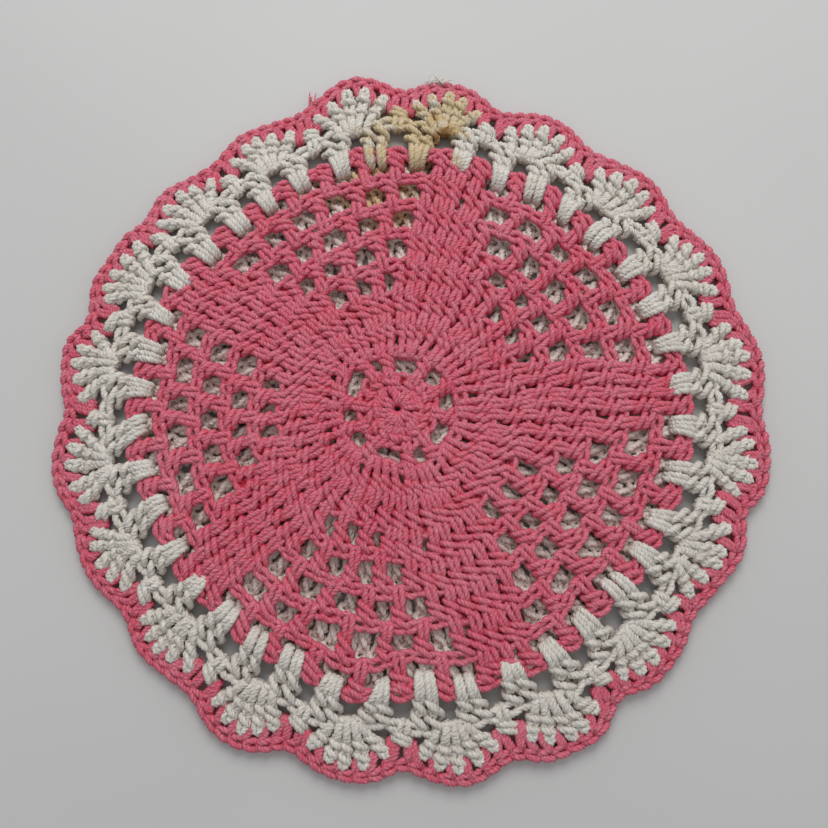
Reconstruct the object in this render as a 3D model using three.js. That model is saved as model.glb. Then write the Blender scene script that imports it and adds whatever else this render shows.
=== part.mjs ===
// A round crocheted hot pad: a pinwheel front layer and a plain back layer, each worked in
// rounds out from the centre, joined at the rim and finished with shells and a chain edging.
// Each mesh is one worked round. Millimetres, +Z up, underside on Z = 0.
import * as THREE from 'three';

// Yarn and fabric
const LAYER_THICKNESS = 3.2;
const GAP = 0.3;
const STITCH_PITCH = 3.6;
const ROUND_HEIGHT = 8.25;
const POST_WIDTH = 4.0;

// Front layer, outer radius of each plain round from the centre out
const CENTRE_HOLE_RADIUS = 1.2;
const CENTRE_RING_RADIUS = 6.3;
const SECOND_ROUND_RADIUS = 10.0;
const EYELET_ROUND_RADIUS = 15.95;
const FAN_ROUND_RADIUS = EYELET_ROUND_RADIUS + ROUND_HEIGHT;

// Eyelets between the fans' roots
const EYELETS = 10;
const EYELET_TURN = 7.5;
const EYELET_RADIUS = 13.2;
const EYELET_WIDTH = 3.6;
const EYELET_LENGTH = 2.6;

// Pinwheel: each sector keeps ten stitches while a solid block gives them up to open mesh
const SECTORS = 5;
const SECTOR = 360 / SECTORS;
const PINWHEEL_ROUNDS = 6;
const STITCHES_PER_SECTOR = 10;
const BLOCK_TURN = 4.9;
const BLOCK_SWIRL = 8.0;
const MESH_FOOT = 1.5;
const MESH_HEAD = 2.0;
const SMALLEST_MESH = 0.8;

// Back layer: a ring and plain rounds up to the same rim
const BACK_RING_RADIUS = FAN_ROUND_RADIUS - 2 * ROUND_HEIGHT;
const BACK_ROUNDS = 8;
const RIM_RADIUS = FAN_ROUND_RADIUS + PINWHEEL_ROUNDS * ROUND_HEIGHT;

// Border: pairs of long stitches, shells over every other space, chain edging
const PAIRS = 40;
const PAIR_WIDTH = 5.6;
const PAIR_WEB_RADIUS = RIM_RADIUS + 3.6;
const JOINING_RADIUS = RIM_RADIUS + 5.8;
const SCALLOPS = 20;
const SCALLOP_TURN = BLOCK_TURN + 180 / PAIRS;
const POINTS_PER_SCALLOP = 6;
const VALLEY_RADIUS = 91.4;
const PEAK_RADIUS = 95.2;
const SCALLOP_ROUNDNESS = 0.8;
const EDGING_WIDTH = 4.2;

// Heights of the border above the underside
const JOINING_BOTTOM = 0.9;
const JOINING_THICKNESS = 4.9;
const SHELL_BOTTOM = 0.3;
const SHELL_THICKNESS = 4.0;
const EDGING_THICKNESS = 3.8;

// Hand work is uneven: the stitches are looser towards +X, so every round is wider there,
// and the rim bulges a little in waves that fade towards the centre
const LOOSENESS = 0.034;
const BULGES = [
  { waves: 4, depth: 0.014, turn: 2 },
  { waves: 5, depth: 0.008, turn: 19 },
  { waves: 7, depth: 0.009, turn: 42 },
];

const PINK = '#c8607a';
const WHITE = '#d6d0c6';

const FRONT_BOTTOM = LAYER_THICKNESS + GAP;

/** How much further out than its true radius the work reaches here, as a share. */
function unevenness(radius, degrees) {
  const fade = (radius / PEAK_RADIUS) ** 2;
  return BULGES.reduce(
    (sum, { waves, depth, turn }) =>
      sum + depth * fade * Math.cos(THREE.MathUtils.degToRad(waves * (degrees - turn))),
    LOOSENESS * Math.cos(THREE.MathUtils.degToRad(degrees)),
  );
}

/** The point at this radius and angle (degrees) about the centre of the crochet. */
function at(radius, degrees) {
  const turn = THREE.MathUtils.degToRad(degrees);
  const reach = radius * (1 + unevenness(radius, degrees));
  return new THREE.Vector2(reach * Math.cos(turn), reach * Math.sin(turn));
}

/** How many straight sides stand for a circle of this radius. */
function sidesFor(radius) {
  if (radius < 12) {
    return 20;
  }
  return radius < 40 ? 32 : 48;
}

/** The points of a circle. */
function circle(radius) {
  const sides = sidesFor(radius);
  return Array.from({ length: sides }, (_, i) => at(radius, (360 * i) / sides));
}

/** A four-cornered hole, centred at this radius and angle; width is measured around. */
function hole(radius, degrees, width, length) {
  const halfTurn = THREE.MathUtils.radToDeg(width / 2 / radius);
  const inner = radius - length / 2;
  const outer = radius + length / 2;
  return new THREE.Path([
    at(inner, degrees - halfTurn),
    at(outer, degrees - halfTurn),
    at(outer, degrees + halfTurn),
    at(inner, degrees + halfTurn),
  ]);
}

/** One round as a mesh: the fabric between two outlines, less its holes. */
function round(name, inner, outer, { bottom, thickness, colour, holes = [] }) {
  const shape = new THREE.Shape(outer);
  shape.holes.push(new THREE.Path(inner), ...holes);
  const geometry = new THREE.ExtrudeGeometry(shape, { depth: thickness, bevelEnabled: false });
  const material = new THREE.MeshStandardMaterial({
    color: colour,
    roughness: 0.75,
    metalness: 0,
  });
  const mesh = new THREE.Mesh(geometry, material);
  mesh.name = name;
  mesh.position.z = bottom;
  return mesh;
}

/** A ring of one layer between two circles, drawn back by half the gap at both. */
function ring(name, innerRadius, outerRadius, options) {
  const inner = circle(innerRadius + GAP / 2);
  const outer = circle(outerRadius - GAP / 2);
  return round(name, inner, outer, { thickness: LAYER_THICKNESS, ...options });
}

/** The ten eyelets. */
function eyeletHoles() {
  const holes = [];
  for (let i = 0; i < EYELETS; i += 1) {
    const degrees = EYELET_TURN + (360 / EYELETS) * i;
    holes.push(hole(EYELET_RADIUS, degrees, EYELET_WIDTH, EYELET_LENGTH));
  }
  return holes;
}

/**
 * The mesh holes of pinwheel round k, from 1. A sector's solid block has ten less k stitches
 * and turns with the swirl, and the rest of the sector is k + 1 equal spaces.
 */
function meshHoles(k, innerRadius) {
  const radius = innerRadius + (ROUND_HEIGHT + MESH_FOOT - MESH_HEAD) / 2;
  const length = ROUND_HEIGHT - MESH_FOOT - MESH_HEAD;
  const pitch = THREE.MathUtils.radToDeg(STITCH_PITCH / radius);
  const block = (STITCHES_PER_SECTOR - 1 - k) * pitch;
  const swirl = BLOCK_SWIRL * ((PINWHEEL_ROUNDS - k) / (PINWHEEL_ROUNDS - 1)) ** 1.5;
  const space = (SECTOR - block) / (k + 1);
  const around = THREE.MathUtils.degToRad(space) * radius;
  const width = Math.max(around - POST_WIDTH, SMALLEST_MESH);
  const holes = [];
  for (let sector = 0; sector < SECTORS; sector += 1) {
    const start = BLOCK_TURN - swirl + SECTOR * sector + block / 2;
    for (let i = 0; i <= k; i += 1) {
      holes.push(hole(radius, start + (i + 0.5) * space, width, length));
    }
  }
  return holes;
}

/** The pink front layer, centre out. */
function frontLayer() {
  const layer = { bottom: FRONT_BOTTOM, colour: PINK };
  const rounds = [
    ring('front_centre_ring', CENTRE_HOLE_RADIUS, CENTRE_RING_RADIUS, layer),
    ring('front_second_round', CENTRE_RING_RADIUS, SECOND_ROUND_RADIUS, layer),
    ring('front_eyelet_round', SECOND_ROUND_RADIUS, EYELET_ROUND_RADIUS, {
      ...layer,
      holes: eyeletHoles(),
    }),
    ring('front_fan_round', EYELET_ROUND_RADIUS, FAN_ROUND_RADIUS, layer),
  ];
  for (let k = 1; k <= PINWHEEL_ROUNDS; k += 1) {
    const inner = FAN_ROUND_RADIUS + (k - 1) * ROUND_HEIGHT;
    rounds.push(
      ring(`front_pinwheel_round_${k}`, inner, inner + ROUND_HEIGHT, {
        ...layer,
        holes: meshHoles(k, inner),
      }),
    );
  }
  return rounds;
}

/** The white back layer, centre out. */
function backLayer() {
  const layer = { bottom: 0, colour: WHITE };
  const rounds = [ring('back_centre_ring', CENTRE_HOLE_RADIUS, BACK_RING_RADIUS, layer)];
  for (let k = 1; k <= BACK_ROUNDS; k += 1) {
    const inner = BACK_RING_RADIUS + (k - 1) * ROUND_HEIGHT;
    rounds.push(ring(`back_round_${k}`, inner, inner + ROUND_HEIGHT, layer));
  }
  return rounds;
}

/** The joining round's inner outline: a tooth for each pair of stitches, a notch between. */
function pairOutline() {
  const points = [];
  const tooth = RIM_RADIUS + GAP / 2;
  const halfTurn = THREE.MathUtils.radToDeg(PAIR_WIDTH / 2 / PAIR_WEB_RADIUS);
  for (let i = 0; i < PAIRS; i += 1) {
    const middle = BLOCK_TURN + (360 / PAIRS) * i;
    points.push(
      at(PAIR_WEB_RADIUS, middle - halfTurn),
      at(tooth, middle - halfTurn),
      at(tooth, middle + halfTurn),
      at(PAIR_WEB_RADIUS, middle + halfTurn),
    );
  }
  return points;
}

/** The scalloped outline, drawn in by this much from the outer edge. */
function scallopOutline(inset) {
  const count = SCALLOPS * POINTS_PER_SCALLOP;
  return Array.from({ length: count }, (_, i) => {
    const degrees = SCALLOP_TURN + (360 * (i + 0.5)) / count;
    const phase = THREE.MathUtils.degToRad((SCALLOPS / 2) * (degrees - SCALLOP_TURN));
    const rise = Math.abs(Math.cos(phase)) ** SCALLOP_ROUNDNESS;
    return at(THREE.MathUtils.lerp(VALLEY_RADIUS, PEAK_RADIUS, rise) - inset, degrees);
  });
}

/** The three rounds outside the rim. */
function border() {
  const joining = round('joining_round', pairOutline(), circle(JOINING_RADIUS - GAP / 2), {
    bottom: JOINING_BOTTOM,
    thickness: JOINING_THICKNESS,
    colour: WHITE,
  });
  const shellInner = circle(JOINING_RADIUS + GAP / 2);
  const shells = round('shell_round', shellInner, scallopOutline(EDGING_WIDTH + GAP / 2), {
    bottom: SHELL_BOTTOM,
    thickness: SHELL_THICKNESS,
    colour: WHITE,
  });
  const edgingInner = scallopOutline(EDGING_WIDTH - GAP / 2);
  const edging = round('edging_round', edgingInner, scallopOutline(0), {
    bottom: 0,
    thickness: EDGING_THICKNESS,
    colour: PINK,
  });
  return [joining, shells, edging];
}

const pad = new THREE.Group();
pad.add(...frontLayer(), ...backLayer(), ...border());

// The frame's origin is the middle of the underside, so the looser side is drawn back.
const middle = new THREE.Box3().setFromObject(pad).getCenter(new THREE.Vector3());
pad.position.set(-middle.x, -middle.y, 0);

const part = new THREE.Group();
part.add(pad);

export default part;
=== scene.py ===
"""A round crocheted hot pad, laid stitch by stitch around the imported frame.

The pad is a pink pinwheel layer on a plain white layer. White pairs of long stitches join the two
at the rim, white shells stand on them, and a pink edging closes the outside. Every worked round is
one closed strand of twisted yarn: the stitches set down short runs of points in working order, a
smooth line is drawn through them, and a ply-shaped section is carried along that line.

Lengths are millimetres and angles are degrees until the last step, which gives metres.
"""

import logging
import math
from dataclasses import astuple, dataclass, field, replace
from enum import Enum

import bpy
import numpy as np
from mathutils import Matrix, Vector


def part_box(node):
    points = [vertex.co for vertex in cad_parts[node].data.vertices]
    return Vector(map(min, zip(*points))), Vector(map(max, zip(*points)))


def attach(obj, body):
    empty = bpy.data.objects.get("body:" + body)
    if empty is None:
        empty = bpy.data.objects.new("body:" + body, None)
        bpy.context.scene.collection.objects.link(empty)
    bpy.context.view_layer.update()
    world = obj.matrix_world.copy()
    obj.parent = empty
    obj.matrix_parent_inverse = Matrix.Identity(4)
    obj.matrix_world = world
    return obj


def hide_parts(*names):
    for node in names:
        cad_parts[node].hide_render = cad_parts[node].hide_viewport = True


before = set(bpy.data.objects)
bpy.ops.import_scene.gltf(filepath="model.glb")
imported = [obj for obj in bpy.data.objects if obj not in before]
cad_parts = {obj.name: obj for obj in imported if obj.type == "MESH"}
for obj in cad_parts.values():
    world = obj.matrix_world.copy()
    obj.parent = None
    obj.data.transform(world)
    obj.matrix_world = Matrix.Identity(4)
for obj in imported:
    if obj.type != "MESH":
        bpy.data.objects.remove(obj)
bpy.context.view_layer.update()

MM = 0.001
MM_PER_CM = 10
FULL_TURN = 360.0
HALF_TURN = 180.0

# The frame's pad
GAP = 0.3  # left between neighbouring rounds
PINWHEEL_ROUNDS = 6
BACK_ROUNDS = 8
BLOCK_TURN = 4.9
PEAK_RADIUS = 95.2

# Where the yarn lies against the frame
RING_FOOT = 2.9  # the radius where each layer's first stitches are worked in
ROW_INSET = 0.5  # a row's line lies this far inside its CAD round's edge
SECOND_STRETCH = 0.7  # how far the eyelets' tension draws out the row under them
EYELET_STRETCH = 1.3  # how far the fans' feet draw out the eyelets' chains
JOINING_STRETCH = 1.5  # how far the shells draw out the pairs
CLOSING_WIDTH = 16.0  # the layers begin to close up on each other this far inside the rim
FRONT_RISES = (-0.1, 0.85)  # of the front layer, over its own level and over the joining round's
BACK_RISES = (0.15, -1.0)  # of the back layer, over the same two
BORDER_WIDTHS = (8.0, 14.0)  # from the joining round's top out to the shells and to the edging
BORDER_RISES = (0.2, -0.1)  # at the joining round's top and at the shells
CLEARANCE = 0.64  # of a yarn's diameter: the least height of its middle over the table
HIGHEST = 6.2  # the greatest height of its middle
SETTLING_PASSES = 4  # for working a true radius out of an uneven one

# Stitches are numbered in working order; these are shares of the step from one to the next.
WITHIN_STITCH = 1e-3
TOP_TIMES = (0.3, 0.9)

log = logging.getLogger("hot_pad")

Array = np.ndarray
Socket = bpy.types.NodeSocket
Pair = tuple[float, float]
Vec3 = tuple[float, float, float]
Colour = tuple[float, float, float]


# ---------------------------------------------------------------- the ground the yarn lies on


def ease(low: float, high: float, value: Array) -> Array:
    """A smooth step from 0 at low to 1 at high: three squares less two cubes of the share."""
    share = np.clip((value - low) / (high - low), 0.0, 1.0)
    return share * share * (3.0 - 2.0 * share)


def between(start: Array, end: Array, share: Array) -> Array:
    """The value this share of the way from start to end."""
    return start + (end - start) * share


@dataclass(frozen=True)
class Bulge:
    """A wave round the rim: how many, how deep (share of the radius) and where it starts."""

    waves: int
    depth: float
    turn: float


@dataclass(frozen=True)
class Ground:
    """Turns a radius, an angle and a height of the even pattern into a place on the real pad."""

    centre: Pair
    looseness: float = 0.034
    bulges: tuple[Bulge, ...] = (Bulge(4, 0.014, 2.0), Bulge(5, 0.008, 19.0), Bulge(7, 0.009, 42.0))
    peak_radius: float = PEAK_RADIUS
    pull: Pair = (-1.1, 0.1)
    pull_radius: float = 14.5
    pull_reach: float = 7.5
    drift: float = 0.24
    drift_waves: int = 14
    drift_shortest: float = 11.0
    drift_longest: float = 42.0
    seed: int = 11

    def unevenness(self, radius: Array, degrees: Array) -> Array:
        """How much further out than its true radius the work reaches, as a share.

        Args:
            radius: True radii.
            degrees: Angles about the centre of the crochet.

        Returns:
            The looseness towards +X, plus the bulges, which fade with the square of the radius.
        """
        fade = (radius / self.peak_radius) ** 2
        total = self.looseness * np.cos(np.radians(degrees))
        for bulge in self.bulges:
            total = total + bulge.depth * fade * np.cos(np.radians(bulge.waves * (degrees - bulge.turn)))
        return total

    def drifted(self, flat: Array) -> Array:
        """Moves places in the plane as hand work strays: a sum of seeded plane waves each way.

        Args:
            flat: Places, one row of x and y each.

        Returns:
            The strayed places, the same shape.
        """
        rng = np.random.default_rng(self.seed)
        count = self.drift_waves
        heading = rng.uniform(0.0, 2.0 * math.pi, count)
        length = rng.uniform(self.drift_shortest, self.drift_longest, count)
        wave = 2.0 * math.pi / length * np.stack([np.cos(heading), np.sin(heading)])
        phase = rng.uniform(0.0, 2.0 * math.pi, (2, count))
        push = rng.normal(0.0, self.drift, (2, count))
        travel = flat @ wave
        moved = [(size * np.sin(travel + start)).sum(-1) for size, start in zip(push, phase)]
        return flat + np.stack(moved, -1)

    def place(self, radius: Array, degrees: Array, height: Array) -> Array:
        """Places on the pad, in millimetres in the frame.

        The eyelets were pulled off centre as they were worked: the shift fades to either side of
        their radius as a bell curve.

        Args:
            radius: True radii.
            degrees: Angles about the centre of the crochet.
            height: Heights above the underside.

        Returns:
            One row of x, y and z for each.
        """
        reach = radius * (1.0 + self.unevenness(radius, degrees))
        turn = np.radians(degrees)
        flat = np.stack([reach * np.cos(turn), reach * np.sin(turn)], -1)
        near = np.exp(-(((radius - self.pull_radius) / self.pull_reach) ** 2))
        flat = self.drifted(flat + near[..., None] * np.array(self.pull)) + np.array(self.centre)
        return np.concatenate([flat, height[..., None]], -1)

    def outer_radius(self, node: str) -> float:
        """The true radius of a round's outer edge.

        Its reach towards +X in the frame is divided by the unevenness there, which depends on the
        radius, so the division is repeated until it settles.

        Args:
            node: The CAD round.

        Returns:
            The radius.
        """
        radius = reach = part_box(node)[1].x / MM - self.centre[0]
        for _ in range(SETTLING_PASSES):
            radius = reach / (1.0 + float(self.unevenness(radius, 0.0)))
        return radius + GAP / 2


def crochet_centre(node: str, looseness: float) -> Pair:
    """The centre of the crochet: the middle of a small ring's box, less its shift towards +X.

    Args:
        node: The innermost ring.
        looseness: Its share of unevenness towards +X.

    Returns:
        Its x and y.
    """
    low, high = (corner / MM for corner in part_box(node))
    half = (high.x - low.x) / 2
    return ((high.x + low.x) / 2 - looseness * half, (high.y + low.y) / 2)


@dataclass(frozen=True)
class Lie:
    """The mid-height of the fabric: straight runs between (radius, height) knots."""

    knots: tuple[Pair, ...]

    def height(self, radius: Array) -> Array:
        """The mid-height at each radius."""
        across, up = zip(*self.knots)
        return np.interp(radius, across, up)


def mid_height(node: str) -> float:
    """The middle of a CAD round's height."""
    low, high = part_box(node)
    return (low.z + high.z) / 2 / MM


# ---------------------------------------------------------------- yarn

SPAN_POINTS = 8  # drawn for each one set down, before the line is cut into even steps
LEAST_STEPS = 6  # in the shortest line


@dataclass(frozen=True)
class Yarn:
    """A plied cotton yarn, and how finely it is drawn."""

    diameter: float = 1.76
    plies: int = 3
    ply_length: float = 5.8
    groove: float = 0.14
    swell: float = 0.04
    sides: int = 9
    step: float = 0.64

    def section(self) -> tuple[Array, Array]:
        """The section as radii: every third corner drawn in as the valley between two plies.

        Returns:
            The radius of each corner, and how far each is up from the valley, from 0 to 1.
        """
        per_ply = self.sides // self.plies
        crest = (np.arange(self.sides) % per_ply != 0).astype(float)
        radius = between(1.0 - self.groove, 1.0 + self.swell, crest) * self.diameter / 2
        return radius, crest


def drawn_line(points: Array, closed: bool, step: float) -> Array:
    """A smooth line through the points, cut into equal steps.

    Between two points the line is the cubic that passes through both with slopes set by their
    neighbours, each span weighted by the square root of its length, which keeps tight turns round.

    Args:
        points: The points, in order.
        closed: Whether the last joins the first.
        step: The length of one step.

    Returns:
        The points of the line; a closed line doesn't repeat its first.
    """
    if closed:
        ring = [np.roll(points, shift, 0) for shift in (1, 0, -1, -2)]
    else:
        ends = np.vstack([2 * points[0] - points[1], points, 2 * points[-1] - points[-2]])
        ring = [ends[:-3], ends[1:-2], ends[2:-1], ends[3:]]
    before, start, end, after = ring

    def span(a: Array, b: Array) -> Array:
        """The square root of each distance."""
        return np.sqrt(np.maximum(np.linalg.norm(b - a, axis=1), 1e-6))[:, None]

    first, middle, last = span(before, start), span(start, end), span(end, after)
    leave = (end - start) + middle * ((start - before) / first - (end - before) / (first + middle))
    arrive = (end - start) + middle * ((after - end) / last - (after - start) / (middle + last))
    share = (np.arange(SPAN_POINTS) / SPAN_POINTS)[None, :, None]
    cube = (2 * (start - end) + leave + arrive)[:, None]
    square = (-3 * (start - end) - 2 * leave - arrive)[:, None]
    line = cube * share**3 + square * share**2 + leave[:, None] * share + start[:, None]
    line = np.vstack([line.reshape(-1, 3), points[:1] if closed else points[-1:]])
    return even_steps(line, closed, step)


def running_length(line: Array) -> Array:
    """The length along the line up to each point."""
    return np.concatenate([[0.0], np.cumsum(np.linalg.norm(np.diff(line, axis=0), axis=1))])


def even_steps(line: Array, closed: bool, step: float) -> Array:
    """Cuts a line into equal steps by its running length.

    Args:
        line: The points; a closed line repeats its first at the end.
        closed: Whether the last point is the first.
        step: The length of one step.

    Returns:
        The new points; a closed line doesn't repeat its first.
    """
    run = running_length(line)
    count = max(LEAST_STEPS, round(run[-1] / step))
    at = np.linspace(0.0, run[-1], count + 1)
    even = np.stack([np.interp(at, run, line[:, axis]) for axis in range(3)], 1)
    return even[:-1] if closed else even


def relaxed(line: Array, times: int) -> Array:
    """Eases a closed line as tension would: each point moves half way to its neighbours' mean.

    Args:
        line: The points.
        times: How often.

    Returns:
        The eased points.
    """
    for _ in range(times):
        mean = (np.roll(line, 1, 0) + np.roll(line, -1, 0)) / 2
        line = (line + mean) / 2
    return line


def unit(vectors: Array) -> Array:
    """The vectors at length 1."""
    return vectors / np.maximum(np.linalg.norm(vectors, axis=-1, keepdims=True), 1e-9)


def carried_frames(line: Array, closed: bool) -> tuple[Array, Array]:
    """Two directions across the line at each point that don't spin about it.

    Each point first gets any direction across the line. The angle between a neighbour's direction,
    laid over by the smallest turn, and the point's own is measured; the running sum of these angles,
    taken back out, gives directions that only follow the line's bends. On a closed line what is left
    over at the join is shared out evenly.

    Args:
        line: The points.
        closed: Whether the last joins the first.

    Returns:
        The two directions, square to the line and to each other.
    """
    along = unit(np.roll(line, -1, 0) - np.roll(line, 1, 0) if closed else np.gradient(line, axis=0))
    helper = np.eye(3)[np.argmin(np.abs(along), axis=1)]
    first = unit(helper - along * (helper * along).sum(1, keepdims=True))
    second = np.cross(along, first)
    ahead = np.roll(along, -1, 0)
    laid = unit(first - ahead * (first * ahead).sum(1, keepdims=True))
    next_first, next_second = np.roll(first, -1, 0), np.roll(second, -1, 0)
    spin = np.arctan2((laid * next_second).sum(1), (laid * next_first).sum(1))
    turned = np.concatenate([[0.0], np.cumsum(spin[:-1])])
    if closed:
        left_over = (turned[-1] + spin[-1] + math.pi) % (2 * math.pi) - math.pi
        turned = turned - left_over * np.arange(len(line)) / len(line)
    cosine, sine = np.cos(turned)[:, None], np.sin(turned)[:, None]
    return cosine * first + sine * second, cosine * second - sine * first


@dataclass
class Length:
    """One length of yarn: its middle line, whether it closes on itself, and its ends' taper."""

    line: Array
    closed: bool
    taper: float = 0.0

    def spans(self) -> int:
        """How many spans join its points."""
        return len(self.line) if self.closed else len(self.line) - 1


def corner_map(left: Array, right: Array, low: Array, high: Array) -> Array:
    """Texture places of each face's corners, from low left round by high left and high right."""
    across = np.stack([left, left, right, right], -1)
    up = np.stack([low, high, high, low], -1)
    return np.stack([across, up], -1).reshape(-1, 2)


@dataclass
class YarnMesh:
    """The mesh of one piece: sections carried along its lengths of yarn, with their patterns.

    The first texture map unrolls the yarn and cuts it into equal rows that fill the square. The
    second gives the length along the yarn and the share round it, which the finish follows.
    """

    yarn: Yarn
    lengths: list[Length]
    cell: float = 0.55
    reach: int = 3
    hollow_to_crest: tuple[float, float] = (-0.62, 0.12)

    def surface(self, item: Length) -> Array:
        """One length's surface: the section, turning with the plies, at each point of the line.

        Args:
            item: The length of yarn.

        Returns:
            One row of x, y and z to a corner, section by section.
        """
        line, sides = item.line, self.yarn.sides
        across, up = carried_frames(line, item.closed)
        run = running_length(line)
        turns = run[-1] / self.yarn.ply_length
        if item.closed:
            turns = round(turns)
        share = np.arange(len(line)) / item.spans()
        angle = 2 * math.pi * (np.arange(sides) / sides + turns * share[:, None])
        thick = np.ones(len(line))
        if item.taper > 0:
            end = np.minimum(run, run[-1] - run) / item.taper
            thick = np.sqrt(np.clip(1 - (1 - np.clip(end, 0.0, 1.0)) ** 2, 0.02, 1.0))
        spread = (self.yarn.section()[0] * thick[:, None])[..., None]
        ring = np.cos(angle)[..., None] * across[:, None] + np.sin(angle)[..., None] * up[:, None]
        return (line[:, None] + spread * ring).reshape(-1, 3)

    def faces(self, item: Length, base: int) -> Array:
        """Four-cornered faces between neighbouring sections, facing out.

        Args:
            item: The length of yarn.
            base: The number of its first vertex.

        Returns:
            Vertex numbers, four to a face.
        """
        sides = self.yarn.sides
        here = np.arange(item.spans())[:, None]
        there = (here + 1) % len(item.line)
        side = np.arange(sides)[None]
        beside = (side + 1) % sides
        corners = [row * sides + column for row, column in (
            (here, side), (here, beside), (there, beside), (there, side)
        )]
        return np.stack(corners, -1).reshape(-1, 4) + base

    def rows(self, total: int) -> Array:
        """The unrolled texture map: the yarn cut into equal rows, stacked to fill the square.

        Args:
            total: How many face rows there are along all the piece's yarn.

        Returns:
            One texture place to a face corner.
        """
        sides = self.yarn.sides
        cuts = max(1, round(math.sqrt(total * self.yarn.step / (math.pi * self.yarn.diameter))))
        per_row = math.ceil(total / cuts)
        row, place = np.divmod(np.arange(total), per_row)
        left = np.broadcast_to((place / per_row)[:, None], (total, sides))
        low = (row[:, None] + np.arange(sides) / sides) / cuts
        return corner_map(left, left + 1 / per_row, low, low + 1 / (sides * cuts))

    def along(self, item: Length) -> Array:
        """The map that follows the yarn: centimetres along it, and the share round it.

        Args:
            item: The length of yarn.

        Returns:
            One texture place to a face corner.
        """
        sides, spans = self.yarn.sides, item.spans()
        step = running_length(item.line)[-1] / (len(item.line) - 1) / MM_PER_CM
        near = np.broadcast_to((np.arange(spans) * step)[:, None], (spans, sides))
        side = np.broadcast_to(np.arange(sides) / sides, near.shape)
        return corner_map(near, near + step, side, side + 1 / sides)

    def openness(self, places: Array) -> Array:
        """How far each place stands up out of the fabric, 0 deep down and 1 on a crest; the finish
        paints shade and highlight from it.

        The piece is laid over square cells. Each cell's highest place is averaged with its
        neighbours', and a place's height is measured against that, in yarn diameters. The same is
        done from below, and the greater of the two counts.

        Args:
            places: The mesh's vertices, in millimetres.

        Returns:
            One number to a vertex.
        """
        cell = np.floor((places[:, :2] - places[:, :2].min(0)) / self.cell).astype(int) + self.reach
        shape = tuple(cell.max(0) + self.reach + 1)
        index = np.ravel_multi_index(tuple(cell.T), shape)
        shifts = range(-self.reach, self.reach + 1)
        above = []
        for heights in (places[:, 2], -places[:, 2]):
            top = np.full(shape[0] * shape[1], -np.inf)
            np.maximum.at(top, index, heights)
            filled = np.isfinite(top).astype(float)
            total, count = (
                sum(np.roll(grid.reshape(shape), (i, j), (0, 1)) for i in shifts for j in shifts).ravel()
                for grid in (np.where(filled > 0, top, 0.0), filled)
            )
            above.append(heights - (total / np.maximum(count, 1.0))[index])
        return ease(*self.hollow_to_crest, np.maximum(*above) / self.yarn.diameter)

    def build(self, name: str, material: bpy.types.Material) -> bpy.types.Object:
        """Makes the piece.

        Args:
            name: Its name.
            material: Its finish.

        Returns:
            The object, at the origin, in metres.
        """
        ring = np.arange(self.yarn.sides)
        places = [self.surface(item) for item in self.lengths]
        ends = np.cumsum([len(part) for part in places])
        quads, caps = [], []
        for item, end, part in zip(self.lengths, ends, places):
            base = end - len(part)
            quads.append(self.faces(item, base))
            if not item.closed:
                caps += [ring[::-1] + base, ring + end - len(ring)]
        spots = np.vstack(places)
        mesh = filled_mesh(name, spots * MM, np.vstack(quads), caps)
        spare = np.zeros((len(caps) * len(ring), 2))
        unrolled = self.rows(sum(item.spans() for item in self.lengths))
        followed = np.vstack([self.along(item) for item in self.lengths])
        for title, values in (("OFBake", unrolled), ("Strand", followed)):
            layer = mesh.uv_layers.new(name=title)
            layer.data.foreach_set("uv", np.vstack([values, spare]).astype(np.float32).ravel())
        mesh.uv_layers.active = mesh.uv_layers["OFBake"]
        crests = np.tile(self.yarn.section()[1], len(spots) // len(ring))
        for title, values in (("Crest", crests), ("Open", self.openness(spots))):
            attribute = mesh.attributes.new(title, "FLOAT", "POINT")
            attribute.data.foreach_set("value", values.astype(np.float32))
        mesh.materials.append(material)
        piece = bpy.data.objects.new(name, mesh)
        bpy.context.scene.collection.objects.link(piece)
        return piece


def filled_mesh(name: str, places: Array, quads: Array, caps: list[Array]) -> bpy.types.Mesh:
    """A smooth-shaded mesh from places, four-cornered faces and end caps.

    Args:
        name: Its name.
        places: One row of x, y and z to a vertex, in metres.
        quads: Vertex numbers, four to a face.
        caps: Vertex numbers of the faces that close open ends.

    Returns:
        The mesh.
    """
    sizes = np.concatenate([np.full(len(quads), 4), [len(cap) for cap in caps]]).astype(np.int32)
    corners = np.concatenate([quads.ravel(), *caps]).astype(np.int32)
    mesh = bpy.data.meshes.new(name)
    mesh.vertices.add(len(places))
    mesh.vertices.foreach_set("co", places.astype(np.float32).ravel())
    mesh.loops.add(len(corners))
    mesh.loops.foreach_set("vertex_index", corners)
    mesh.polygons.add(len(sizes))
    mesh.polygons.foreach_set("loop_start", (np.cumsum(sizes) - sizes).astype(np.int32))
    mesh.polygons.foreach_set("use_smooth", np.ones(len(sizes), bool))
    mesh.update(calc_edges=True)
    return mesh


# ---------------------------------------------------------------- stitches

# A stitch's shape is the path that its yarn takes, as rows of four numbers:
#   across  in widths of the stitch, on from its middle in the direction of work
#   out     the share of the way from the foot to the head
#   beyond  further out, in yarn diameters
#   up      towards the face of the fabric, in yarn diameters

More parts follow.
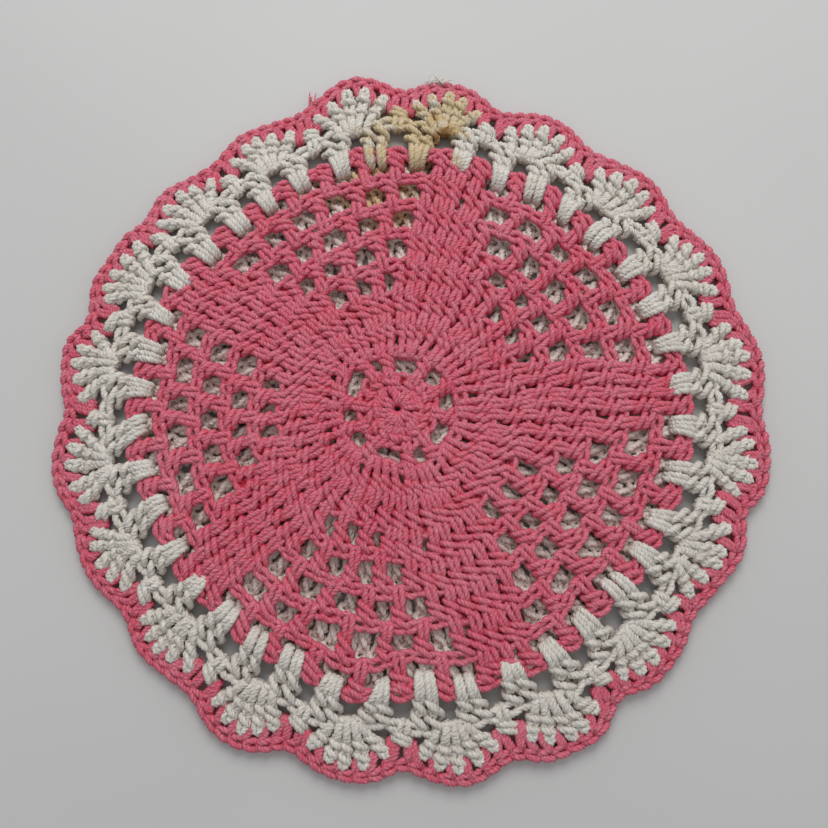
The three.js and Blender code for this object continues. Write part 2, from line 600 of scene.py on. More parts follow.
LONG_STITCH = np.array([
    (-0.45, 0.9, 0, -0.8), (0.25, 0.84, 0, -0.75), (0.5, 0.7, 0, -0.05), (0.22, 0.61, 0, 0.82),
    (-0.18, 0.48, 0, 0.88), (-0.48, 0.38, 0, 0.05), (-0.25, 0.28, 0, -0.65), (-0.12, 0.08, 0, -0.85),
    (-0.1, 0, -0.85, -0.25), (-0.2, 0, -0.35, 0.7), (-0.2, 0.14, 0, 0.82), (-0.14, 0.32, 0, 0.62),
    (-0.1, 0.47, 0, 0.12), (-0.14, 0.61, 0, 0.2), (-0.14, 0.68, 0, 0.62), (0.02, 0.725, 0, 0.45),
    (0.14, 0.68, 0, 0.62), (0.12, 0.59, 0, 0.2), (0.12, 0.47, 0, 0.12), (0.15, 0.32, 0, 0.62),
    (0.2, 0.14, 0, 0.82), (0.18, 0, -0.35, 0.7), (0.12, 0, -0.85, -0.2), (0.15, 0.08, 0, -0.85),
    (0.05, 0.35, 0, -0.7), (-0.3, 0.56, 0, -0.55), (-0.49, 0.64, 0, 0.05), (-0.18, 0.75, 0, 0.84),
    (0.2, 0.88, 0, 0.86), (0.47, 0.97, 0, 0.05), (0.22, 0.91, 0, -0.6), (-0.1, 0.85, 0, -0.45),
    (-0.08, 1, -0.75, 0.05),
])

# A long stitch whose lower part is pressed narrow between its neighbours.
FAN_STITCH = LONG_STITCH * np.where(LONG_STITCH[:, 1:2] < 0.4, (0.35, 1, 1, 1), 1)

SHORT_STITCH = np.array([
    (-0.3, 0.85, 0, -0.55), (-0.22, 0.15, 0, -0.8), (-0.18, 0, -0.85, -0.25), (-0.22, 0, -0.3, 0.7),
    (-0.24, 0.35, 0, 0.78), (-0.16, 0.8, 0, 0.5), (0, 1, -0.25, 0.05), (0.16, 0.8, 0, 0.45),
    (0.24, 0.35, 0, 0.76), (0.22, 0, -0.3, 0.7), (0.18, 0, -0.85, -0.25), (0.22, 0.15, 0, -0.8),
    (0.05, 0.8, 0, -0.6), (-0.05, 1, -0.5, 0.05),
])

# One bar low over the legs: a short stitch that stands up as a bump.
BAR_STITCH = np.array([
    (-0.45, 0.75, 0, -0.7), (0.2, 0.7, 0, -0.7), (0.52, 0.68, 0, 0), (0.2, 0.62, 0, 1),
    (-0.2, 0.48, 0, 1.05), (-0.5, 0.36, 0, 0.05), (-0.2, 0.2, 0, -0.7), (-0.12, 0, -0.8, -0.2),
    (-0.2, 0, -0.35, 0.55), (-0.18, 0.2, 0, 0.5), (-0.12, 0.45, 0, 0), (-0.14, 0.8, 0, 0.3),
    (0.02, 0.98, 0.1, 0.45), (0.16, 0.8, 0, 0.3), (0.14, 0.45, 0, 0), (0.18, 0.2, 0, 0.5),
    (0.2, 0, -0.35, 0.55), (0.12, 0, -0.8, -0.2), (0.15, 0.2, 0, -0.75), (0, 0.7, 0, -0.7),
    (-0.05, 1, -0.6, -0.05),
])

# As the long stitch, but with a round tip that stands free.
FINGER_STITCH = np.array([
    (-0.45, 0.92, 0, -0.6), (0.2, 0.8, 0, -0.7), (0.52, 0.57, 0, 0), (0.2, 0.53, 0, 0.92),
    (-0.18, 0.47, 0, 0.95), (-0.5, 0.42, 0, 0), (-0.25, 0.3, 0, -0.65), (-0.12, 0.08, 0, -0.85),
    (-0.1, 0, -0.8, -0.25), (-0.12, 0, -0.35, 0.65), (-0.12, 0.14, 0, 0.86), (-0.13, 0.32, 0, 0.68),
    (-0.16, 0.46, 0, 0.12), (-0.22, 0.6, 0, 0.5), (-0.22, 0.74, 0, 0.12), (-0.24, 0.91, 0, 0.66),
    (-0.14, 1.02, 0.15, 0.7), (0.14, 1.02, 0.15, 0.7), (0.24, 0.91, 0, 0.66), (0.22, 0.74, 0, 0.12),
    (0.22, 0.6, 0, 0.5), (0.16, 0.46, 0, 0.12), (0.13, 0.32, 0, 0.68), (0.12, 0.14, 0, 0.86),
    (0.12, 0, -0.35, 0.65), (0.12, 0, -0.8, -0.2), (0.15, 0.08, 0, -0.85), (0.05, 0.35, 0, -0.7),
    (-0.3, 0.62, 0, -0.55), (-0.52, 0.7, 0, 0), (-0.2, 0.76, 0, 0.95), (0.2, 0.82, 0, 0.97),
    (0.52, 0.87, 0, 0), (0.2, 0.92, 0, -0.6), (0, 1, -0.6, -0.35),
])

# As the long stitch, but thick enough at the foot to take in the rim.
JOINING_STITCH = np.array([
    (-0.45, 0.95, 0, -0.8), (0.25, 0.8, 0, -0.75), (0.52, 0.66, 0, 0), (0.24, 0.59, 0, 1.2),
    (-0.18, 0.47, 0, 1.55), (-0.48, 0.38, 0, 0.55), (-0.25, 0.4, 0, -0.95), (-0.14, 0.3, 0, -1.85),
    (-0.14, 0.08, 0, -1.9), (-0.14, 0, -0.7, -0.5), (-0.2, 0, -0.4, 1.1), (-0.23, 0.1, 0, 1.95),
    (-0.22, 0.26, 0, 2), (-0.18, 0.38, 0, 1.25), (-0.12, 0.52, 0, 0.4), (-0.14, 0.64, 0, 0.75),
    (0.02, 0.71, 0, 0.45), (0.15, 0.64, 0, 0.75), (0.16, 0.52, 0, 0.4), (0.18, 0.38, 0, 1.25),
    (0.23, 0.26, 0, 2), (0.23, 0.1, 0, 1.95), (0.2, 0, -0.4, 1.1), (0.14, 0, -0.7, -0.5),
    (0.16, 0.08, 0, -1.9), (0.16, 0.3, 0, -1.85), (0.05, 0.48, 0, -0.9), (-0.3, 0.58, 0, -0.55),
    (-0.5, 0.7, 0, 0.05), (-0.18, 0.78, 0, 1), (0.2, 0.88, 0, 1), (0.5, 0.95, 0, 0.05),
    (0.22, 0.92, 0, -0.6), (-0.1, 0.9, 0, -0.35), (-0.08, 1, -0.7, 0.1),
])

# Low at the foot, where it goes down between two fingers.
EDGING_STITCH = np.array([
    (-0.3, 0.85, 0, -0.6), (-0.22, 0.15, 0, -0.85), (-0.18, 0, -0.6, -0.45), (-0.24, 0, -0.3, 0.15),
    (-0.24, 0.35, 0, 0.42), (-0.18, 0.8, 0, 0.48), (0, 1, -0.25, 0.05), (0.18, 0.8, 0, 0.48),
    (0.24, 0.35, 0, 0.42), (0.24, 0, -0.3, 0.15), (0.18, 0, -0.6, -0.45), (0.22, 0.15, 0, -0.85),
    (0.05, 0.8, 0, -0.65), (-0.05, 1, -0.5, 0),
])

# Loops along a top: "out" is the share of the way to the next head.
TOP_LOOP = np.array([
    (0, 0.25, 0.4, 0.2), (0, 0.62, 0.46, 0.46), (0, 1, 0.16, 0.42), (0, 1.26, -0.34, 0.02),
    (0, 1.02, 0, -0.5), (0, 0.62, 0.05, -0.55), (0, 0.25, 0.1, -0.42), (0, 0.02, -0.48, -0.4),
])

CHAIN_LOOP = np.array([
    (0, 0.1, 0.24, -0.1), (0, 0.45, 0.6, 0.45), (0, 0.95, 0.56, 0.52), (0, 1.25, 0.05, 0.05),
    (0, 1.05, -0.46, 0.25), (0, 0.6, -0.6, 0.66), (0, 0.22, -0.3, 0.2), (0, 0.05, -0.1, -0.5),
])

UNDER_LOOP = np.array([
    (0, 0.2, -0.3, -0.45), (0, 0.5, -0.35, -0.5), (0, 0.8, -0.3, -0.45),
])

BRAID_LOOP = np.array([
    (0, -0.05, 0, -0.45), (0, 0.14, 0.14, 0.3), (0, 0.52, 0.42, 0.66), (0, 0.92, 0.54, 0.34),
    (0, 1.2, 0.34, -0.1), (0, 1.28, 0, -0.25), (0, 1.2, -0.34, -0.1), (0, 0.92, -0.54, 0.3),
    (0, 0.52, -0.4, 0.66), (0, 0.14, -0.12, 0.32), (0, -0.05, 0, -0.45),
])


class Face(Enum):
    """Which way the right side of the fabric looks."""

    UP = 1
    DOWN = -1


@dataclass(frozen=True)
class Spots:
    """Where stitches stand along a line: angles, radii and the room each has across."""

    degrees: Array
    radius: Array
    width: Array

    @classmethod
    def at(cls, degrees: Array, radius: Array | float, width: Array | float) -> "Spots":
        """Spots at these angles; a single radius or width holds for all."""
        return cls(*np.broadcast_arrays(degrees, radius, width))

    def chosen(self, which: Array) -> "Spots":
        """Only the spots that are marked or numbered."""
        return Spots(self.degrees[which], self.radius[which], self.width[which])

    def moved(self, aside: Array, size: Array | float = 1.0) -> "Spots":
        """Each spot moved aside by millimetres, with this share of its room."""
        return Spots(self.degrees + np.degrees(aside / self.radius), self.radius, self.width * size)

    def joined(self, others: "Spots") -> "Spots":
        """These spots, then the others."""
        rows = zip(astuple(self), astuple(others))
        return Spots(*(np.concatenate(pair) for pair in rows))

    def following(self) -> "Spots":
        """For each spot the next one round, with the room of its own."""
        degrees = np.append(self.degrees[1:], self.degrees[0] + FULL_TURN)
        return Spots(degrees, np.roll(self.radius, -1), self.width)


def spots_between(start: Spots, end: Spots, share: Array, drawn_in: Array) -> Spots:
    """Places a share of the way from start to end, the middle hanging in as a parabola."""
    radius = between(start.radius, end.radius, share) - drawn_in * 4 * share * (1 - share)
    return Spots(between(start.degrees, end.degrees, share), radius, start.width)


@dataclass(frozen=True)
class Hand:
    """The evenness of the maker's hand, as spreads.

    Stray and lean are in millimetres, size and depth are shares.
    """

    seed: int
    stray: float = 0.27
    lean: float = 0.42
    size: float = 0.08
    depth: float = 0.11

    def draws(self, count: int, columns: int) -> Array:
        """Random draws of spread 1, held within two spreads."""
        return np.clip(np.random.default_rng(self.seed).normal(size=(columns, count)), -2.0, 2.0)


@dataclass
class Worked:
    """A strand being worked: runs of points set down in order, then drawn as one closed line."""

    ground: Ground
    lie: Lie
    yarn: Yarn
    face: Face = Face.UP
    squash: float = 0.77
    easings: int = 3
    runs: list[Array] = field(default_factory=list)
    orders: list[Array] = field(default_factory=list)

    def set_down(self, shape: Array, order: Array, foot: Spots, head: Spots, depth: Array) -> None:
        """Sets down one shape at many spots.

        The radius runs from foot to head by the shape's share, the angle runs the same way plus the
        shape's step across divided by the radius, and the height is the lie of the fabric plus the
        shape's rise, squashed.

        Args:
            shape: Rows of across, out, beyond and up.
            order: When each is worked.
            foot: Where each starts.
            head: Where each ends.
            depth: How deep each is against the shape.
        """
        across, out, beyond, up = (shape[:, column][None] for column in range(4))
        radius = between(foot.radius[:, None], head.radius[:, None], out) + beyond * self.yarn.diameter
        width = between(foot.width[:, None], head.width[:, None], np.clip(out, 0.0, 1.0))
        degrees = between(foot.degrees[:, None], head.degrees[:, None], out)
        degrees = (degrees + np.degrees(across * width / radius)) * self.face.value
        rise = up * self.yarn.diameter * self.squash * depth[:, None] * self.face.value
        height = np.clip(self.lie.height(radius) + rise, self.yarn.diameter * CLEARANCE, HIGHEST)
        self.runs.append(self.ground.place(radius, degrees, height).reshape(-1, 3))
        step = np.arange(len(shape)) / len(shape) * WITHIN_STITCH
        self.orders.append((order[:, None] + step).ravel())

    def stitches(self, shape: Array, order: Array, foot: Spots, head: Spots, hand: Hand) -> None:
        """Sets down stitches with the small differences of hand work.

        Args:
            shape: The stitch.
            order: When each is worked.
            foot: Where each starts.
            head: Where each ends.
            hand: The evenness of the work.
        """
        draw = hand.draws(len(order), 4)
        stray, lean, size = draw[0] * hand.stray, draw[1] * hand.lean, 1.0 + draw[2] * hand.size
        foot, head = foot.moved(stray - lean, size), head.moved(stray + lean, size)
        self.set_down(shape, order, foot, head, 1.0 + draw[3] * hand.depth)

    def tops(
        self, shape: Array, order: Array, heads: Spots, hand: Hand,
        link: float = math.inf, sag: float = 0.0,
    ) -> None:
        """Runs loops from each head to the next all round: a top loop, or chains if there is room.

        Args:
            shape: The loop over a head.
            order: When each head's stitch is worked.
            heads: The heads, in order.
            hand: The evenness of the work.
            link: The length of one chain; without it there is never room.
            sag: How far the middle of a run of chains is drawn in.
        """
        far = heads.following()
        room = np.radians(far.degrees - heads.degrees) * heads.radius
        links = np.maximum(1, np.round(room / link)).astype(int)
        owner = np.repeat(np.arange(len(links)), links)
        number = np.arange(links.sum()) - np.repeat(np.cumsum(links) - links, links)
        starts, ends = number / links[owner], (number + 1) / links[owner]
        chained = links[owner] > 1
        near, far, pulled = heads.chosen(owner), far.chosen(owner), np.where(chained, sag, 0.0)
        begin, finish = (spots_between(near, far, share, pulled) for share in (starts, ends))
        depth = 1.0 + hand.draws(len(owner), 1)[0] * hand.depth
        when = order[owner] + between(*TOP_TIMES, starts)
        for loop, these in ((shape, ~chained), (CHAIN_LOOP, chained)):
            if these.any():
                self.set_down(loop, when[these], begin.chosen(these), finish.chosen(these), depth[these])

    def whole_round(
        self, shape: Array, feet: Spots, heads: Spots, hand: Hand,
        top: Array = TOP_LOOP, link: float = math.inf, sag: float = 0.0,
    ) -> "Worked":
        """Works a round of one kind of stitch and its tops.

        Args:
            shape: The stitch.
            feet: Where each starts.
            heads: Where each ends.
            hand: The evenness of the work.
            top: The loop over a head.
            link: The length of one chain, where there is room for chains.
            sag: How far the middle of a run of chains is drawn in.

        Returns:
            This strand.
        """
        order = np.arange(len(feet.degrees), dtype=float)
        self.stitches(shape, order, feet, heads, hand)
        self.tops(top, order, heads, hand, link, sag)
        return self

    def length(self) -> Length:
        """The whole strand: its runs in working order, drawn finely, eased, and cut to the step."""
        points = np.vstack(self.runs)[np.argsort(np.concatenate(self.orders), kind="stable")]
        fine = relaxed(drawn_line(points, True, self.yarn.step / 2), self.easings)
        return Length(even_steps(np.vstack([fine, fine[:1]]), True, self.yarn.step), True)


# ---------------------------------------------------------------- finishes


def linear(red: int, green: int, blue: int) -> Colour:
    """A colour given as 0 to 255 for the eye, as the light it gives back from 0 to 1."""
    shares = (value / 255 for value in (red, green, blue))
    return tuple(s / 12.92 if s <= 0.04045 else ((s + 0.055) / 1.055) ** 2.4 for s in shares)


class Sheet:
    """A material being put together node by node."""

    def __init__(self, name: str) -> None:
        """Starts an empty material with its shader and output."""
        self.material = bpy.data.materials.new(name)
        self.material.use_nodes = True
        self.tree = self.material.node_tree
        self.tree.nodes.clear()
        self.shader = self.node("BsdfPrincipled", {})
        self.node("OutputMaterial", {"Surface": self.shader.outputs["BSDF"]})

    def node(self, kind: str, inputs: dict[str | int, object], **settings: str) -> bpy.types.Node:
        """A new node.

        Args:
            kind: The rest of its type's name after ShaderNode.
            inputs: What each socket is fed, by the socket's name or number.
            settings: The node's own settings.

        Returns:
            The node.
        """
        made = self.tree.nodes.new(f"ShaderNode{kind}")
        for title, setting in settings.items():
            setattr(made, title, setting)
        for title, value in inputs.items():
            self.feed(made.inputs[title], value)
        return made

    def feed(self, target: Socket, value: object) -> None:
        """Joins another socket to this one, or sets its value."""
        if isinstance(value, Socket):
            self.tree.links.new(value, target)
        else:
            target.default_value = (*value, 1.0) if target.type == "RGBA" else value

    def coordinates(self, scale: float) -> Socket:
        """Object coordinates, scaled."""
        return self.mapped(self.node("TexCoord", {}).outputs["Object"], (scale,) * 3)

    def strand(self, scale: Vec3) -> Socket:
        """The coordinates along and round the yarn, scaled."""
        return self.mapped(self.node("UVMap", {}, uv_map="Strand").outputs["UV"], scale)

    def mapped(self, source: Socket, scale: Vec3) -> Socket:
        """Coordinates through a Mapping node with this scale."""
        return self.node("Mapping", {"Vector": source, "Scale": scale}).outputs["Vector"]

    def plies(self, turns: float) -> Socket:
        """Three plies: the sine of three times round plus the turns along, made positive.

        Args:
            turns: How many times the plies turn about the yarn in a centimetre.

        Returns:
            The height, 0 in the valleys and 1 on the crests.
        """
        parts = self.node("SeparateXYZ", {"Vector": self.strand((3.0 * turns, 3.0, 1.0))})
        uneven = self.remap(self.noise(self.strand((7.0, 1.0, 1.0)), 2.0), (0.25, 0.75), (-0.45, 0.45))
        phase = self.calculate("ADD", parts.outputs["X"], parts.outputs["Y"])
        wave = self.calculate("MULTIPLY", self.calculate("ADD", phase, uneven), math.pi)
        return self.calculate("ABSOLUTE", self.calculate("SINE", wave))

    def noise(self, where: Socket, detail: float, roughness: float = 0.5) -> Socket:
        """Noise of scale 1 at these coordinates."""
        inputs = {"Vector": where, "Scale": 1.0, "Detail": detail, "Roughness": roughness}
        return self.node("TexNoise", inputs).outputs["Fac"]

    def attribute(self, name: str) -> Socket:
        """A number kept on the mesh."""
        return self.node("Attribute", {}, attribute_name=name).outputs["Fac"]

    def remap(self, value: Socket, old: Pair, new: Pair) -> Socket:
        """Carries a value smoothly from one range to another, held within it."""
        inputs = dict(zip(("Value", "From Min", "From Max", "To Min", "To Max"), (value, *old, *new)))
        return self.node("MapRange", inputs, interpolation_type="SMOOTHSTEP").outputs["Result"]

    def calculate(self, operation: str, first: object, second: object = 0.0) -> Socket:
        """A Math node on one or two values."""
        return self.node("Math", {0: first, 1: second}, operation=operation).outputs[0]

    def mix(self, share: object, first: object, second: object, blend: str = "MIX") -> Socket:
        """Two colours mixed by a share."""
        mixer = self.node("Mix", {"Factor": share}, data_type="RGBA", blend_type=blend)
        for socket, colour in zip((s for s in mixer.inputs if s.type == "RGBA"), (first, second)):
            self.feed(socket, colour)
        return next(s for s in mixer.outputs if s.type == "RGBA")

    def distance(self, where: Vec3, scale: Vec3) -> Socket:
        """The distance from a place in metres, with each axis scaled."""
        source = self.node("TexCoord", {}).outputs["Object"]
        away = self.node("VectorMath", {0: source, 1: where}, operation="SUBTRACT").outputs["Vector"]
        scaled = self.node("VectorMath", {0: away, 1: scale}, operation="MULTIPLY").outputs["Vector"]
        return self.node("VectorMath", {0: scaled}, operation="LENGTH").outputs["Value"]


@dataclass(frozen=True)
class Mark:
    """A stain on the pad, its place as a radius and an angle and its reach each way."""

    radius: float
    degrees: float
    reach: Pair
    strength: float
    colour: Colour


@dataclass(frozen=True)
class YarnFinish:
    """Plied cotton: body colour, a paler colour for fibre streaks and tone patches that is also painted
    as highlight on ply crests, and a deep colour painted as shade in hollows and ply valleys that
    also tints random darker blotches.

    Marks need the ground that they lie on.
    """

    name: str
    body: Colour
    # pale colour of fibre streaks and tone patches, also painted as highlight on ply crests
    pale_and_highlight: Colour
    # painted shade colour for hollows and ply valleys, also used for random darker blotches
    shade_and_blotch: Colour
    ground: Ground | None = None
    marks: tuple[Mark, ...] = ()
    fibre_scale: Vec3 = (3.2, 26.0, 1.0)
    slow_scale: float = 62.0
    blotch_scale: float = 260.0
    ply_turns: float = -1.72
    # strength of the painted shade in the ply valleys
    ply_valley_shade: float = 0.4
    # strength of the painted highlight on ply crests that stand up
    ply_highlight: float = 0.42
    relief: float = 0.7
    relief_height: float = 0.00022
    # strength of the painted shade on yarn that lies deep in the fabric
    cavity_shade: float = 0.9
    roughness: float = 0.55
    sheen: float = 0.1
    shine: float = 0.32
    stain_scale: float = 170.0
    stain_raggedness: float = 0.42

    def material(self) -> bpy.types.Material:
        """Makes the material.

        Fibres run along the yarn as fine streaks; painted shade in the deep colour darkens the valleys
        between plies and the yarn that lies deep in the fabric; a painted highlight in the pale colour
        lightens ply crests that stand up; slow patches of tone follow the object.

        Returns:
            The material.
        """
        sheet = Sheet(self.name)
        fibres = sheet.noise(sheet.strand(self.fibre_scale), 4.0, 0.62)
        slow = sheet.noise(sheet.coordinates(self.slow_scale), 2.0)
        blotch = sheet.noise(sheet.coordinates(self.blotch_scale), 2.0)
        ply = sheet.plies(self.ply_turns)
        standing = sheet.attribute("Open")
        # painted highlight: the crests of the plies on yarn that stands up out of the fabric
        lit = sheet.calculate("MULTIPLY", sheet.remap(ply, (0.5, 1.0), (0.0, 1.0)), standing)
        layers = (
            # painted shade: deep in the fabric, in the section's ply grooves and in the pattern's ply
            # valleys
            (sheet.remap(standing, (0.0, 1.0), (self.cavity_shade, 0.0)), self.shade_and_blotch),
            (sheet.remap(sheet.attribute("Crest"), (0.0, 0.75), (0.15, 0.0)), self.shade_and_blotch),
            (sheet.remap(ply, (0.0, 0.55), (self.ply_valley_shade, 0.0)), self.shade_and_blotch),
            # painted highlight on the standing crests
            (sheet.calculate("MULTIPLY", lit, self.ply_highlight), self.pale_and_highlight),
            # the yarn's own colour: fibre streaks, slow tone patches and random darker blotches
            (sheet.remap(fibres, (0.35, 0.75), (0.0, 0.35)), self.pale_and_highlight),
            (sheet.remap(slow, (0.3, 0.7), (0.0, 0.24)), self.pale_and_highlight),
            (sheet.remap(blotch, (0.3, 0.62), (0.22, 0.0)), self.shade_and_blotch),
        )
        colour = self.body
        for share, tint in layers:
            colour = sheet.mix(share, colour, tint)
        rough = (self.roughness + 0.1, self.roughness - 0.08)
        height = sheet.calculate("ADD", sheet.calculate("MULTIPLY", fibres, 0.5), ply)
        bump = sheet.node(
            "Bump", {"Strength": self.relief, "Distance": self.relief_height, "Height": height}
        )
        for title, value in (
            ("Base Color", self.stained(sheet, colour)),
            ("Roughness", sheet.remap(fibres, (0.3, 0.7), rough)),
            ("Sheen Weight", self.sheen),
            ("Sheen Roughness", 0.45),
            ("Sheen Tint", self.pale_and_highlight),
            ("Specular IOR Level", self.shine),
            ("Normal", bump.outputs["Normal"]),
        ):
            sheet.feed(sheet.shader.inputs[title], value)
        return sheet.material

    def stained(self, sheet: Sheet, colour: Socket) -> Socket:
        """The colour darkened by each of the marks, ragged at their edges.

        Args:
            sheet: The material being made.
            colour: The clean colour.

        Returns:
            The stained colour.
        """
        if not self.marks:
            return colour
        rough = sheet.noise(sheet.coordinates(self.stain_scale), 3.0, 0.6)
        most = self.stain_raggedness
        ragged = sheet.remap(rough, (0.25, 0.75), (-most, most))
        for mark in self.marks:
            spot = self.ground.place(*np.array([[mark.radius], [mark.degrees], [0.0]]))[0] * MM
            scale = (1.0 / (mark.reach[0] * MM), 1.0 / (mark.reach[1] * MM), 0.0)
            far = sheet.calculate("ADD", sheet.distance(tuple(spot), scale), ragged)
            share = sheet.remap(far, (0.45, 1.1), (mark.strength, 0.0))
            colour = sheet.mix(share, colour, mark.colour, "MULTIPLY")
        return colour


# ---------------------------------------------------------------- the pad


class Slot(Enum):
    """The record's material slots."""

    PINK = "pink_yarn"
    WHITE = "white_yarn"
    BORDER = "border_yarn"


def finished_piece(
    worked: Worked, node: str, material: bpy.types.Material
) -> bpy.types.Object:
    """Builds a round's piece, rides it on the pad, and lets it stand for its CAD round.

    Args:
        worked: The round's strand.
        node: The CAD round.
        material: The finish.

    Returns:
        The piece.
    """
    length = worked.length()
    piece = YarnMesh(worked.yarn, [length]).build(f"yarn_{node}", material)
    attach(piece, "root")
    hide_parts(node)
    triangles = len(piece.data.loops) - 2 * len(piece.data.polygons)
    metres = running_length(length.line)[-1] * MM
    log.info("%s: %.2f m of yarn, %d triangles", piece.name, metres, triangles)
    return piece


@dataclass
class FrontLayer:
    """The pink pinwheel layer."""

    ground: Ground
    yarn: Yarn
    finish: YarnFinish
    lie: Lie
    rows: dict[str, float]
    sectors: int = 5
    sector_stitches: int = 10
    block_turn: float = BLOCK_TURN
    block_swirl: float = 8.0
    swirl_power: float = 1.5
    pitch: float = 3.6
    post: float = 3.75
    lone_post: float = 4.3
    link: float = 3.6
    chain_sag: float = 0.4
    rim_sag: float = 1.9
    ring_stitches: int = 8
    ring_turn: float = 10.0
    second_stitches: int = 17
    second_turn: float = 3.0
    eyelets: int = 10
    eyelet_turn: float = 7.5
    eyelet_pulls: tuple[float, ...] = (-0.4, -0.5, 1.0, -1.0, 1.0, -0.9, -0.6, 1.0, -1.0, 1.0)
    eyelet_pull: float = 3.0
    fan_stitches: int = 5
    fan_foot_step: float = 6.9
    fan_lean: float = 1.5
    seed: int = 21
    pinwheel_seed: int = 30

    def build(self) -> list[bpy.types.Object]:
        """Builds every round of the layer, centre out."""
        material = self.finish.material()
        rows, seed = self.rows, self.seed
        ring = (self.ring_stitches, self.ring_turn, RING_FOOT, rows["centre_ring"], seed)
        second = (
            self.second_stitches, self.second_turn, rows["centre_ring"], rows["second_round"], seed + 1
        )
        rounds = {
            "centre_ring": self.even_round(SHORT_STITCH, *ring),
            "second_round": self.even_round(BAR_STITCH, *second),
            "eyelet_round": self.eyelet_round(),
            "fan_round": self.fan_round(),
        }
        for k in range(1, PINWHEEL_ROUNDS + 1):
            rounds[f"pinwheel_round_{k}"] = self.pinwheel_round(k)
        return [
            finished_piece(worked, f"front_{name}", material)
            for name, worked in rounds.items()
        ]

    def strand(self) -> Worked:
        """A new strand on this layer."""
        return Worked(self.ground, self.lie, self.yarn)

    def even_round(
        self, shape: Array, count: int, turn: float, foot: float, head: float, seed: int,
        aside: Array | float = 0.0,
    ) -> Worked:
        """A round of evenly spaced stitches with chains where there is room.

        Args:
            shape: The stitch.
            count: How many.
            turn: The first one's angle.
            foot: The radius of the feet.
            head: The radius of the heads.
            seed: For the hand's differences.
            aside: How far round each stitch is pulled, in degrees.

        Returns:
            The strand.
        """
        degrees = turn + FULL_TURN / count * np.arange(count) + aside
        room = np.radians(FULL_TURN / count)
        feet, heads = (
            Spots.at(degrees, radius, min(room * radius, self.post)) for radius in (foot, head)
        )
        return self.strand().whole_round(shape, feet, heads, Hand(seed), link=self.link)

    def eyelet_round(self) -> Worked:
        """Ten long stitches with chains between, pulled aside so that some eyelets gape."""
        pulls = np.array(self.eyelet_pulls)
        aside = self.eyelet_pull * (pulls - np.roll(pulls, -1)) / 2
        turn = self.eyelet_turn + HALF_TURN / self.eyelets
        foot, head = self.rows["second_round"], self.rows["eyelet_round"]
        return self.even_round(LONG_STITCH, self.eyelets, turn, foot, head, self.seed + 2, aside)

    def fan_round(self) -> Worked:
        """Five long stitches in each eyelet's chain, their feet drawn together and heads spread."""
        count = self.eyelets * self.fan_stitches
        number = np.arange(count)
        middle = self.eyelet_turn + FULL_TURN / self.eyelets * (number // self.fan_stitches)
        step = number % self.fan_stitches - (self.fan_stitches - 1) / 2
        spread = FULL_TURN / count
        feet, heads = (
            Spots.at(middle + step * apart + lean, radius, np.radians(apart) * radius)
            for apart, lean, radius in (
                (self.fan_foot_step, 0.0, self.rows["eyelet_round"]),
                (spread, self.fan_lean, self.rows["fan_round"]),
            )
        )
        return self.strand().whole_round(FAN_STITCH, feet, heads, Hand(self.seed + 3))

    def post_angles(self, k: int, radius: float) -> Array:
        """Where the stitches of pinwheel round k stand.

        A sector's solid block has ten less k stitches, a pitch apart; the rest of the sector is
        k + 1 equal spaces with a lone stitch between each two.

        Args:
            k: The round, from 1.
            radius: Its middle radius.

        Returns:
            The angles, in working order.
        """
        pitch = math.degrees(self.pitch / radius)
        block = (self.sector_stitches - 1 - k) * pitch
        sector = FULL_TURN / self.sectors
        share = (PINWHEEL_ROUNDS - k) / (PINWHEEL_ROUNDS - 1)
        middle = self.block_turn - self.block_swirl * share**self.swirl_power
        space = (sector - block) / (k + 1)
        solid = middle - block / 2 + pitch * np.arange(self.sector_stitches - k)
        lone = middle + block / 2 + space * np.arange(1, k + 1)
        one_sector = np.concatenate([solid, lone])
        return (sector * np.arange(self.sectors)[:, None] + one_sector[None]).ravel()

    def pinwheel_round(self, k: int) -> Worked:
        """Solid blocks and open mesh, ten stitches to a sector; lone ones close up on themselves.

        Args:
            k: The round, from 1.

        Returns:
            The strand.
        """
        foot = self.rows[f"pinwheel_round_{k - 1}" if k > 1 else "fan_round"]
        head = self.rows[f"pinwheel_round_{k}"]
        degrees = self.post_angles(k, (foot + head) / 2)
        lone = np.arange(len(degrees)) % self.sector_stitches >= self.sector_stitches - k
        width = np.where(lone, self.lone_post, self.post)
        feet, heads = (Spots.at(degrees, radius, width) for radius in (foot, head))
        sag = self.rim_sag if k == PINWHEEL_ROUNDS else self.chain_sag
        hand = Hand(self.pinwheel_seed + k)
        return self.strand().whole_round(LONG_STITCH, feet, heads, hand, link=self.link, sag=sag)


@dataclass
class BackLayer:
    """The plain white layer, its right side down."""

    ground: Ground
    yarn: Yarn
    finish: YarnFinish
    lie: Lie
    rows: dict[str, float]
    increase: int = 12
    spiral: float = 4.0
    seed: int = 50

    def build(self) -> list[bpy.types.Object]:
        """Builds every round of the layer, centre out: twelve more stitches in each."""
        material = self.finish.material()
        pieces, foot = [], RING_FOOT
        for number, (name, head) in enumerate(self.rows.items()):
            worked = self.plain_round(number, foot, head)
            pieces.append(finished_piece(worked, f"back_{name}", material))
            foot = head
        return pieces

    def plain_round(self, number: int, foot: float, head: float) -> Worked:
        """One round of long stitches.

        Args:
            number: The round, from 0.
            foot: The radius of the feet.
            head: The radius of the heads.

        Returns:
            The strand.
        """
        count = self.increase * (number + 1)
        degrees = self.spiral * number + FULL_TURN / count * np.arange(count)
        room = np.radians(FULL_TURN / count)
        feet, heads = (Spots.at(degrees, radius, room * radius) for radius in (foot, head))
        worked = Worked(self.ground, self.lie, self.yarn, Face.DOWN)
        return worked.whole_round(LONG_STITCH, feet, heads, Hand(self.seed + number))


